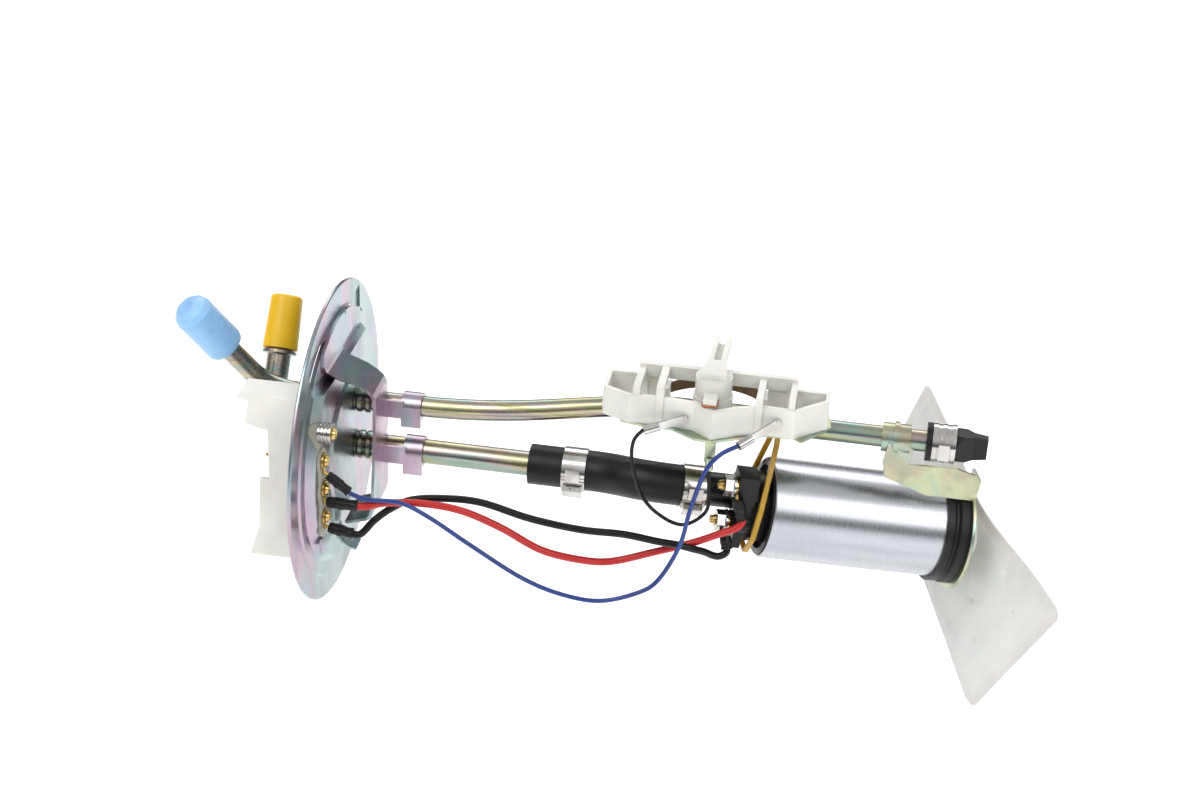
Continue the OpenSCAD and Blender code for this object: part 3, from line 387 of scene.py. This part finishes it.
# Strainer: two layers of cloth, folded at one long side and heat sealed at the other three
BAG_YAW, BAG_PITCH, BAG_TURN = math.radians(36), math.radians(10), math.radians(35)
BAG_LEN, BAG_WID, BAG_OFF = 110, 66, 12.5
BAG_CORNER = (43.5, 50)
DISC_FACE = 76.75
BAG_ROT = (Matrix.Rotation(BAG_YAW, 4, "Z") @ Matrix.Rotation(BAG_PITCH, 4, "Y")).to_3x3()
BAG_AT = in_pump(DISC_FACE, 0, 0) + BAG_OFF * MM * (BAG_ROT @ X_AXIS)
SEAM, EDGE_R = 5.0, 4.5
# Its corners as it hangs, skewed by the bend of the cloth: top near, bottom near, bottom far, top far
CORNERS = [Vector(c) for c in ((0, 15.5), (113, -8.5), (123.5, 57.5), (15, 55))]
BOW = 2.6
SEALED_T, SHOULDER_T, PILLOW_T, WAVE_T = 0.4, 0.75, 1.2, 0.09
WELDS = ((88, 7), (102, 13), (73, 23), (88, 30), (101, 38), (89.5, 49), (45, 18), (30, 28), (58, 36),
         (42, 45), (27, 48))
WELD_DEPTH, WELD_SPREAD = 0.9, 2.4
HUB_AT = Vector((64.3, 16))
HUB_PULL, HUB_REACH = 6.0, 19.0
BAG_STEPS = (138, 90)
EASED = 0.35


def ease(x):
    x = min(max(x, 0), 1)
    return x * x * (3 - 2 * x)


def on_bag(u, v, t):
    """A point of the bag from its length, width and thickness coordinates."""
    turn = math.pi + BAG_TURN
    y = BAG_CORNER[0] + u * math.cos(turn) - v * math.sin(turn)
    z = BAG_CORNER[1] + u * math.sin(turn) + v * math.cos(turn)
    return BAG_AT + BAG_ROT @ (Vector((t, y, z)) * MM)


def bag_place(u, v):
    """Where a point of the flat cut lies in the skewed outline."""
    s, q = u / BAG_LEN, v / BAG_WID
    near = CORNERS[0].lerp(CORNERS[1], s) + Vector((0, BOW * math.sin(math.pi * s ** 0.75)))
    return near.lerp(CORNERS[3].lerp(CORNERS[2], s), q)


def bag_swell(u, v):
    """Half thickness: thin sealed border, soft shoulder, shallow pillow between the welds."""
    border = min(u - SEAM, BAG_LEN - SEAM - u, v - SEAM)
    swell = SEALED_T + SHOULDER_T * ease(border / 1.6 + 0.5)
    swell += PILLOW_T * ease(border / 9) * ease((BAG_WID - v + 2.5) / 9)
    place = bag_place(u, v)
    for weld in WELDS:
        swell -= WELD_DEPTH * math.exp(-(place - Vector(weld)).length_squared / WELD_SPREAD)
    return swell + WAVE_T * math.sin(u * 0.31 + v * 0.12) * math.sin(v * 0.27) * ease(border / 10)


def bag_lean(place):
    """The cloth is drawn to the hub in its middle and waves a little elsewhere."""
    pull = HUB_PULL * math.exp(-(place - HUB_AT).length_squared / (2 * HUB_REACH ** 2))
    return 0.5 * math.sin(place.x * 0.07 + 0.6) * math.cos(place.y * 0.09) - pull


def corner_pull(u, v):
    """Rounds the outline's corners by moving rim points inwards."""
    du = u - min(max(u, EDGE_R), BAG_LEN - EDGE_R)
    dv = v - min(max(v, EDGE_R), BAG_WID - EDGE_R)
    reach = math.hypot(du, dv)
    if reach < 1e-6:
        return u, v
    shrink = max(abs(du), abs(dv)) / reach
    return u - du + du * shrink, v - dv + dv * shrink


def bag_line(edge, steps):
    """Places from 0 to the edge length, closer together at both ends."""
    return [edge * (EASED * (0.5 - 0.5 * math.cos(math.pi * k / steps)) + (1 - EASED) * k / steps)
            for k in range(steps + 1)]


def strainer_bag():
    us, vs = bag_line(BAG_LEN, BAG_STEPS[0]), bag_line(BAG_WID, BAG_STEPS[1])
    nu, nv = len(us), len(vs)
    half = nu * nv
    verts, faces = [], []
    for layer in (1, -1):
        for u in us:
            for v in vs:
                place = bag_place(*corner_pull(u, v))
                verts.append(on_bag(*place, bag_lean(place) + layer * bag_swell(u, v)))
    for i in range(nu - 1):
        for j in range(nv - 1):
            quad = (i * nv + j, i * nv + j + 1, (i + 1) * nv + j + 1, (i + 1) * nv + j)
            faces += [quad, tuple(half + k for k in reversed(quad))]
    rim = [i * nv for i in range(nu)] + [(nu - 1) * nv + j for j in range(1, nv)]
    rim += [i * nv + nv - 1 for i in range(nu - 2, -1, -1)] + [j for j in range(nv - 2, 0, -1)]
    for a, b in zip(rim, rim[1:] + rim[:1]):
        faces.append((a, b, b + half, a + half))
    bag = solid("strainer_bag", [(verts, faces)], "strainer_cloth")
    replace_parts(bag, "strainer")


strainer_bag()

# Hub between the disc on the boot and the bag: places along it from 0 to 1, with a radius at each
HUB_START, HUB_SIDES, HUB_LAP = 1.6, 40, 0.6
HUB_PROFILE = ((0, 8.6), (0.35, 7), (0.7, 7), (1, 8.2))


def strainer_nozzle():
    start = in_pump(DISC_FACE + HUB_START, 0, 0)
    end = BAG_AT - (HUB_PULL + HUB_LAP) * MM * (BAG_ROT @ X_AXIS)
    frames = frames_along([start.lerp(end, t) for t, radius in HUB_PROFILE])
    rings = [ring(point, side, up, [radius * MM] * HUB_SIDES)
             for (point, ahead, side, up), (t, radius) in zip(frames, HUB_PROFILE)]
    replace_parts(solid("strainer_nozzle", [lofted(rings)], "nylon"), "strainer_hub")


strainer_nozzle()

# Connector: an open housing with four ways
HOUSING_OUTLINE = [
    (-1.6, 38.4), (-24.2, 38.4), (-24.2, 36.7), (-20.4, 36.1), (-22, 28), (-22, 26.6), (-16.6, 25.4),
    (-13.6, 25), (-13.6, 5), (-17.1, 4.7), (-18.2, -16.3), (-21.5, -26.8), (-21.5, -28.2), (-1.6, -28.2)]
HOUSING_NEAR, HOUSING_FAR, HOUSING_WALL = -43, -30.2, 1.5
TERM_Z = (23.2, 11.5, -0.2, -11.9)
WAYS_TOP, WAYS_LOW, WAY_FLOOR, RIB_HALF = 26.2, -26, -5.2, 0.7
ROOM_TOP, ROOM_LOW, ROOM_FLOOR = 35.2, 27.8, -9
PAST_MOUTH = -40


def pocket(low, top, floor):
    """An empty space of the housing, open towards -X."""
    return prism([(PAST_MOUTH, low), (floor, low), (floor, top), (PAST_MOUTH, top)],
                 HOUSING_NEAR + HOUSING_WALL, HOUSING_FAR - HOUSING_WALL)


def connector_shell():
    block = joined("connector_shell", [prism(HOUSING_OUTLINE, HOUSING_NEAR, HOUSING_FAR)])
    shell = link("connector_shell", block, "nylon")
    ribs = [(a + b) / 2 for a, b in zip(TERM_Z, TERM_Z[1:])]
    tops = [WAYS_TOP] + [z - RIB_HALF for z in ribs]
    lows = [z + RIB_HALF for z in ribs] + [WAYS_LOW]
    carve(shell, [pocket(low, top, WAY_FLOOR) for low, top in zip(lows, tops)])
    carve(shell, [pocket(ROOM_LOW, ROOM_TOP, ROOM_FLOOR)])
    soften(shell, 0.45, 35)
    smoothed(shell.data, 30)
    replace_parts(shell, "connector_housing")


connector_shell()

# Contacts: round pins with tapered tips, riveted over on the tank side, the first one on a stack of washers
PIN_TIP, PIN_R, PIN_TAPER, TIP_R = -16.4, 1.25, 1.6, 0.45
HEAD_AT, STACK = 6, 3.0
# Radius and height over the seat, from the rim to the dimple
HEAD_PROFILE = ((2.2, 0), (2.25, 0.35), (1.75, 1.15), (1.25, 1.2), (0.9, 0.75), (0, 0.7))
PIN_SIDES = 28


def contact_pins():
    parts = []
    for i, z in enumerate(TERM_Z):
        head = HEAD_AT + (STACK if i == 0 else 0)
        profile = [(0, PIN_TIP), (TIP_R, PIN_TIP), (PIN_R, PIN_TIP + PIN_TAPER), (PIN_R, head)]
        profile += [(r, head + h) for r, h in HEAD_PROFILE]
        parts.append(revolved(profile, Vector((0, TERM_Y, z)) * MM, Y_AXIS, Z_AXIS, X_AXIS, PIN_SIDES))
    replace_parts(solid("contact_pins", parts, "brass"), "connector_pins")


contact_pins()

# Threaded studs of the pump's two terminals
STUD_AT = ((-8.6, 12), (-8.6, -3))
STUD_IN, STUD_TIP, STUD_R = -8, -21.3, 2.0
PITCH, THREAD_DEPTH, CREST, ROOT = 0.8, 0.32, 0.15, 0.12
RUN_IN, RUN_OUT = 0.2, 0.6


def threaded_stud(y, z):
    profile = [(0, STUD_IN), (STUD_R, STUD_IN)]
    for i in range(int((STUD_IN - STUD_TIP - RUN_OUT) / PITCH)):
        x = STUD_IN - RUN_IN - i * PITCH
        valley = x - PITCH / 2
        profile += [(STUD_R, x), (STUD_R, x - CREST)]
        profile += [(STUD_R - THREAD_DEPTH, valley), (STUD_R - THREAD_DEPTH, valley - ROOT)]
    profile += [(STUD_R - 0.5, STUD_TIP + 0.2), (STUD_R - 0.8, STUD_TIP), (0, STUD_TIP)]
    along, side, up = (PUMP_TURN.to_3x3() @ axis for axis in (X_AXIS, Y_AXIS, Z_AXIS))
    return revolved(profile, in_pump(0, y, z), side, up, along, PIN_SIDES)


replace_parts(solid("stud_threads", [threaded_stud(*at) for at in STUD_AT], "brass"), "terminal_studs")


# Materials by slot
finishes = {}


class Finish:
    """A material with its shader sockets set, and short ways to add texture nodes to it."""

    def __init__(self, slot, **sockets):
        self.mat = bpy.data.materials.new(slot + "_finish")
        self.mat.use_nodes = True
        self.tree = self.mat.node_tree
        self.shader = self.tree.nodes["Principled BSDF"]
        for key, value in sockets.items():
            self.shader.inputs[key.replace("_", " ")].default_value = value
        self.coords = self.add("TexCoord").outputs["Object"]
        finishes[slot] = self.mat

    def plug(self, value, socket):
        """Links a socket to an input, or sets a plain value on it."""
        if isinstance(value, bpy.types.NodeSocket):
            self.tree.links.new(value, socket)
        else:
            socket.default_value = value

    def add(self, kind, inputs=None, **settings):
        node = self.tree.nodes.new("ShaderNode" + kind)
        for key, value in settings.items():
            setattr(node, key, value)
        for key, value in (inputs or {}).items():
            self.plug(value, node.inputs[key])
        return node

    def feed(self, socket, value):
        self.tree.links.new(value, self.shader.inputs[socket])

    def place(self, scale=(1, 1, 1), turn=(0, 0, 0)):
        """Coordinates in a frame of their own: turned, then scaled."""
        local = self.add("Mapping", {"Vector": self.coords, "Rotation": turn}, vector_type="TEXTURE")
        return self.add("Mapping", {"Vector": local.outputs["Vector"], "Scale": scale},
                        vector_type="POINT").outputs["Vector"]

    def noise(self, scale, detail=3.0, where=None, roughness=0.55, distortion=0.0):
        return self.add("TexNoise", {"Vector": where or self.coords, "Scale": scale, "Detail": detail,
                                     "Roughness": roughness, "Distortion": distortion}).outputs["Fac"]

    def ramp(self, value, *stops):
        node = self.add("ValToRGB", {"Fac": value})
        elements = node.color_ramp.elements
        while len(elements) < len(stops):
            elements.new(0.5)
        for element, (at, color) in zip(elements, stops):
            element.position = at
            element.color = color
        return node.outputs["Color"]

    def span(self, value, low, high, start=0.0, end=1.0):
        """A value between start and end, spread from low to high."""
        return self.add("MapRange", {"Value": value, "From Min": start, "From Max": end, "To Min": low,
                                     "To Max": high}).outputs["Result"]

    def math(self, kind, a, b=0.0):
        node = self.add("Math", operation=kind)
        for index, value in enumerate((a, b)):
            self.plug(value, node.inputs[index])
        return node.outputs["Value"]

    def mix(self, factor, a, b):
        """The colour sockets of the Mix node are reached by index, because three sets share their names."""
        node = self.add("Mix", data_type="RGBA")
        for index, value in ((0, factor), (6, a), (7, b)):
            self.plug(value, node.inputs[index])
        return node.outputs[2]

    def bump(self, height, strength, depth, edge=0.0002):
        """Fine relief, over edges that the shader rounds a little."""
        soft = self.add("Bevel", {"Radius": edge}, samples=4).outputs["Normal"]
        normal = self.add("Bump", {"Height": height, "Strength": strength, "Distance": depth, "Normal": soft})
        self.feed("Normal", normal.outputs["Normal"])


def rgb(r, g, b):
    """A display colour, 0 to 255, as the linear one that Blender wants."""
    return tuple(((c / 255 + 0.055) / 1.055) ** 2.4 if c > 10 else c / 3294.6 for c in (r, g, b)) + (1,)


def zinc(slot, tints, rough, stretch=(1, 1, 1), patches=40, grain=900):
    """Metal: thin film tints in soft patches, a fine grain, and duller blotches."""
    f = Finish(slot, Metallic=1.0)
    where = f.place(stretch)
    tint = f.noise(patches, 3, where, 0.5, 0.8)
    low, high = 0.32, 0.68
    step = (high - low) / (len(tints) - 1)
    color = f.ramp(tint, *[(low + step * i, rgb(*t)) for i, t in enumerate(tints)])
    dull = f.noise(patches * 2.3, 5, where, 0.65)
    worn = rgb(*(c * 0.8 for c in tints[0]))
    f.feed("Base Color", f.mix(f.span(dull, 0, 0.5, 0.5, 0.75), color, worn))
    fine = f.noise(grain, 2, where)
    blotches = f.span(dull, 0, 0.08, 0.4, 0.8)
    f.feed("Roughness", f.math("ADD", f.span(fine, rough - 0.05, rough + 0.07), blotches))
    f.bump(fine, 0.15, 0.00004)


def moulded(slot, color, rough, grain=1800, depth=0.00003, **sockets):
    """Plastic or rubber: clouded colour, fine moulded texture and a few rubbed places."""
    f = Finish(slot, **sockets)
    dark = rgb(*(c * 0.93 for c in color))
    f.feed("Base Color", f.mix(f.span(f.noise(45, 3), 0, 1, 0.35, 0.65), dark, rgb(*color)))
    texture = f.noise(grain, 3)
    rubbed = f.span(f.noise(120, 4), -0.05, 0.08, 0.35, 0.65)
    f.feed("Roughness", f.math("ADD", f.span(texture, rough - 0.04, rough + 0.06), rubbed))
    f.bump(texture, 0.3, depth)


def brushed_shell(slot):
    """Drawn aluminium tube: fine rings round its axis and long soft streaks along it."""
    f = Finish(slot, Metallic=1.0)
    tilt = (0, PUMP_PITCH, PUMP_YAW)
    rings = f.noise(1, 2, f.place((5200, 160, 160), tilt), 0.6)
    streak = f.noise(1, 3, f.place((14, 220, 220), tilt), 0.5)
    f.feed("Base Color", f.ramp(streak, (0.3, rgb(168, 170, 176)), (0.7, rgb(182, 184, 189))))
    f.feed("Roughness", f.span(rings, 0.25, 0.31, 0.3, 0.7))
    f.bump(rings, 0.06, 0.00003, 0.0004)


def filter_cloth(slot, thread):
    """Woven filter cloth: threads both ways in the plane of the bag, a little light coming through."""
    f = Finish(slot, Roughness=0.78, Sheen_Weight=0.15, Subsurface_Weight=0.2, Subsurface_Scale=0.002)
    local = f.place(turn=(BAG_TURN, BAG_PITCH, BAG_YAW))
    xyz = f.add("SeparateXYZ", {"Vector": local})
    pace = 2 * math.pi / thread
    threads = [f.math("SINE", f.math("MULTIPLY", xyz.outputs[axis], pace)) for axis in ("Y", "Z")]
    weave = f.math("MULTIPLY", *threads)
    shade = f.mix(f.span(f.noise(60, 4), 0, 1, 0.3, 0.7), rgb(205, 207, 203), rgb(222, 223, 220))
    f.feed("Base Color", f.mix(f.span(weave, 0.0, 0.35, -1, 1), shade, rgb(188, 190, 186)))
    f.bump(weave, 0.5, 0.00012, 0.0005)


# Metals, each with the tints that its surface runs through
zinc("zinc_flange", [(162, 142, 156), (174, 156, 169), (146, 163, 168), (158, 174, 172), (170, 156, 165)],
     0.27, (1, 1, 0.3), patches=30)
zinc("zinc_tube", [(146, 144, 110), (176, 172, 136), (168, 150, 150), (134, 160, 150), (158, 154, 118)],
     0.23, (0.1, 1, 1), patches=170)
zinc("zinc_bracket", [(156, 176, 158), (178, 182, 150), (168, 160, 140), (154, 178, 166)], 0.29, patches=42)
zinc("bright_steel", [(164, 162, 160), (200, 199, 197), (176, 172, 166)], 0.13)
zinc("brass", [(184, 152, 84), (208, 180, 118)], 0.2, grain=1500)
zinc("copper", [(176, 104, 64), (206, 136, 92)], 0.24)
zinc("steel_core", [(110, 110, 114), (160, 116, 90)], 0.4)
brushed_shell("pump_aluminium")

# Mouldings, rubber and insulation
moulded("nylon", (222, 222, 215), 0.36, Subsurface_Weight=0.15, Subsurface_Scale=0.002)
moulded("grey_insulator", (166, 162, 148), 0.5)
moulded("black_rubber", (19, 19, 21), 0.4, grain=700, depth=0.00006, Specular_IOR_Level=0.28)
moulded("black_plastic", (15, 15, 17), 0.32, Specular_IOR_Level=0.28)
moulded("amber_rubber", (182, 136, 26), 0.38, Subsurface_Weight=0.1)
moulded("blue_vinyl", (150, 198, 240), 0.3, Transmission_Weight=0.04, Subsurface_Weight=0.3,
        Subsurface_Scale=0.003)
moulded("yellow_plastic", (240, 186, 4), 0.4, Subsurface_Weight=0.1)
moulded("blue_insulation", (16, 52, 124), 0.3)
moulded("red_insulation", (182, 20, 18), 0.33)
moulded("black_insulation", (11, 11, 13), 0.28, Specular_IOR_Level=0.28)
moulded("ferrite", (70, 70, 74), 0.6)
moulded("carbon", (44, 44, 46), 0.7)
moulded("card", (120, 90, 62), 0.5)
filter_cloth("strainer_cloth", thread=0.0009)

# The hanger bracket has the flange's own plating, lilac and teal
FINISH_OF = {"hanger_bracket": "zinc_flange"}


def dress():
    """Gives every CAD node and every modelled piece its finish."""
    slot_of = {part["node"]: part["material_slot"] for part in frame["record"]["subparts"]}
    for name, obj in nodes.items():
        obj.data.materials.clear()
        obj.data.materials.append(finishes[FINISH_OF.get(name, slot_of[name])])
    for piece, slot in made:
        piece.data.materials.append(finishes[slot])


dress()

# Floor and light
FLOOR_SIZE = 6
SKY_STRENGTH = 0.8
HORIZON, OVERHEAD = (0.12, (0.1, 0.105, 0.12, 1)), (0.58, (1, 1, 1, 1))
MIDDLE = Vector((0.1, 0, 0))
# Place, width, height and power of each softbox
SOFTBOXES = {
    "key": ((-0.5, -0.7, 1.1), 0.8, 0.8, 9),
    "fill": ((0.9, -0.6, 0.7), 0.7, 0.7, 4),
    "back": ((0.1, 1.1, 0.9), 1.2, 0.5, 5),
}


def make_floor():
    low = cad_box[0].z
    corners = [(x * FLOOR_SIZE, y * FLOOR_SIZE, low) for x, y in ((-1, -1), (1, -1), (1, 1), (-1, 1))]
    mesh = bpy.data.meshes.new("floor")
    mesh.from_pydata(corners, [], [(0, 1, 2, 3)])
    floor = bpy.data.objects.new("floor", mesh)
    bpy.context.scene.collection.objects.link(floor)
    paint = Finish("floor", Roughness=0.9, Emission_Color=(1, 1, 1, 1), Emission_Strength=0.4)
    shade = paint.ramp(paint.noise(3), (0.3, (0.95, 0.95, 0.95, 1)), (0.7, (0.97, 0.97, 0.97, 1)))
    paint.feed("Base Color", shade)
    mesh.materials.append(paint.mat)


def make_sky():
    """A studio sky: bright overhead, grey round the horizon, so that the metals have something to mirror."""
    world = bpy.data.worlds.new("studio")
    world.use_nodes = True
    tree = world.node_tree
    coords = tree.nodes.new("ShaderNodeTexCoord")
    split = tree.nodes.new("ShaderNodeSeparateXYZ")
    ramp = tree.nodes.new("ShaderNodeValToRGB")
    tree.links.new(coords.outputs["Generated"], split.inputs[0])
    tree.links.new(split.outputs["Z"], ramp.inputs["Fac"])
    for element, (at, color) in zip(ramp.color_ramp.elements, (HORIZON, OVERHEAD)):
        element.position = at
        element.color = color
    background = tree.nodes["Background"]
    tree.links.new(ramp.outputs["Color"], background.inputs["Color"])
    background.inputs["Strength"].default_value = SKY_STRENGTH
    bpy.context.scene.world = world


def make_softboxes():
    for name, (place, width, height, power) in SOFTBOXES.items():
        data = bpy.data.lights.new(name, "AREA")
        data.shape = "RECTANGLE"
        data.size, data.size_y, data.energy = width, height, power
        lamp = bpy.data.objects.new(name, data)
        lamp.location = place
        lamp.rotation_mode = "QUATERNION"
        lamp.rotation_quaternion = (MIDDLE - Vector(place)).to_track_quat("-Z", "Y")
        bpy.context.scene.collection.objects.link(lamp)


make_floor()
make_sky()
make_softboxes()
# A plain display curve, so that the white floor stays white
bpy.context.scene.view_settings.view_transform = "Standard"
